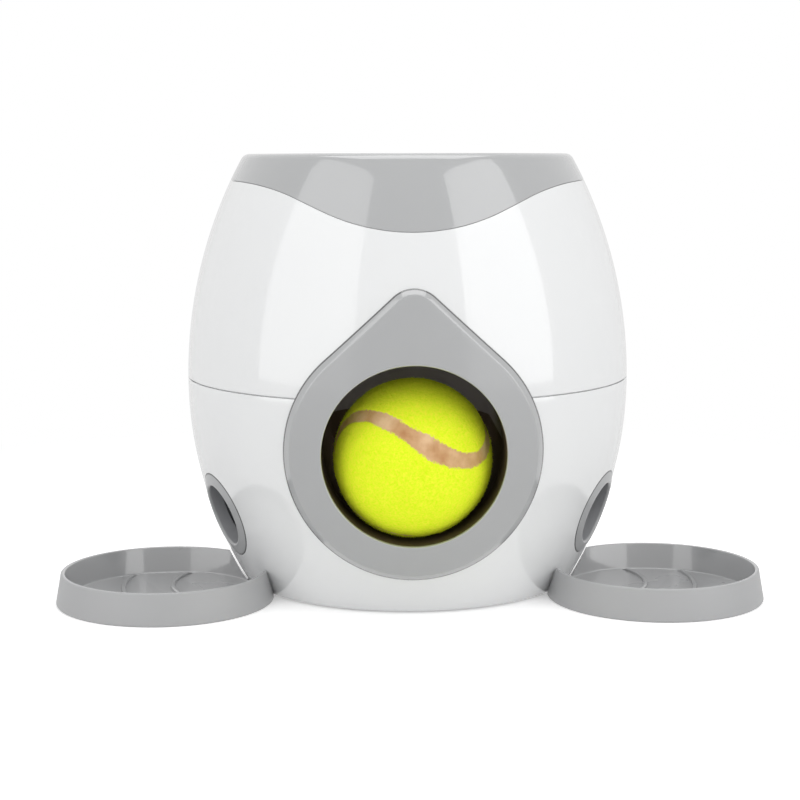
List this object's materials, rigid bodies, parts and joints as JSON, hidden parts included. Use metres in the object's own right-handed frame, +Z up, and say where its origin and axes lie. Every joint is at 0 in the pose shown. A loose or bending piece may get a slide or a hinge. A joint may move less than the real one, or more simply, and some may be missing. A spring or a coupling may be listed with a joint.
{
  "type": "automatic dog ball launcher",
  "caption": "Barrel-shaped dog ball and treat machine: a ball put in the funnel turns a wheel, rolls out at the round mouth, and treats slide into side dishes.",
  "frame": {"origin": "on the floor, under the barrel's axis, at the height of the feet's undersides", "axes": "+Z up along the barrel's axis, -Y out of the ball's mouth, +X towards the right dish as seen from the front"},
  "size_m": [0.2918, 0.1917, 0.182],
  "materials": {
    "white_shell": "gloss white injection-moulded plastic",
    "grey_trim": "satin grey injection-moulded plastic",
    "dark_channel": "matt dark grey-brown plastic",
    "inner_white": "plain white plastic, as moulded",
    "clear_hopper": "natural translucent-looking pale plastic",
    "rotor_grey": "plain grey acetal",
    "steel": "bright zinc-plated steel",
    "spring_steel": "oiled spring steel",
    "bronze_bush": "sintered bronze",
    "foot_rubber": "soft matt rubber",
    "dish_grey": "satin grey plastic",
    "felt": "yellow-green felt with a pale seam",
    "ball_rubber": "hollow natural rubber"
  },
  "bodies": {
    "machine": {"lower_shell": "white_shell", "upper_shell": "white_shell", "mouth_bezel": "grey_trim", "mouth_sleeve": "dark_channel", "bezel_screws": "steel", "base_plate": "inner_white", "rubber_feet": "foot_rubber", "base_screws": "steel", "shell_screws": "steel", "lower_ball_ramp": "dark_channel", "upper_ball_guide": "dark_channel", "ramp_screws": "steel", "guide_screws": "steel", "left_treat_hopper": "clear_hopper", "right_treat_hopper": "clear_hopper", "hopper_screws": "steel", "left_shaft_bush": "bronze_bush", "right_shaft_bush": "bronze_bush", "pawl_pin": "steel", "pawl_spring": "spring_steel", "left_treat_chute": "dark_channel", "right_treat_chute": "dark_channel", "left_outlet_ring": "grey_trim", "right_outlet_ring": "grey_trim"},
    "cap": {"top_cap": "grey_trim"},
    "wheel": {"wheel_shaft": "steel", "paddle_wheel": "rotor_grey", "detent_wheel": "rotor_grey", "shaft_clips": "spring_steel", "left_treat_rotor": "rotor_grey", "right_treat_rotor": "rotor_grey"},
    "pawl": {"detent_pawl": "rotor_grey"},
    "left_dish": {"left_treat_dish": "dish_grey"},
    "right_dish": {"right_treat_dish": "dish_grey"},
    "ball": {"ball_rubber_core": "ball_rubber", "ball_felt_cover": "felt"}
  },
  "joints": [
    {"name": "wheel_turn", "type": "hinge", "parent": "machine", "child": "wheel", "pos_m": [0, 0.046, 0.118], "axis": [1, 0, 0], "continuous": true},
    {"name": "pawl_swing", "type": "hinge", "parent": "machine", "child": "pawl", "pos_m": [0.023, 0.066, 0.098], "axis": [-1, 0, 0], "range_deg": [0, 10], "stiffness_Nm_per_rad": 0.1, "springref_deg": -11.46, "deforming": ["pawl_spring"]},
    {"name": "cap_lift", "type": "slide", "parent": "machine", "child": "cap", "axis": [0, 0, 1], "range_m": [0, 0.06]},
    {"name": "left_dish_pull", "type": "slide", "parent": "machine", "child": "left_dish", "axis": [-0.9171, -0.3987, 0], "range_m": [0, 0.03]},
    {"name": "right_dish_pull", "type": "slide", "parent": "machine", "child": "right_dish", "axis": [0.9171, -0.3987, 0], "range_m": [0, 0.03]},
    {"name": "ball_roll", "type": "slide", "parent": "machine", "child": "ball", "axis": [0, -1, 0], "range_m": [0, 0.03]}
  ]
}
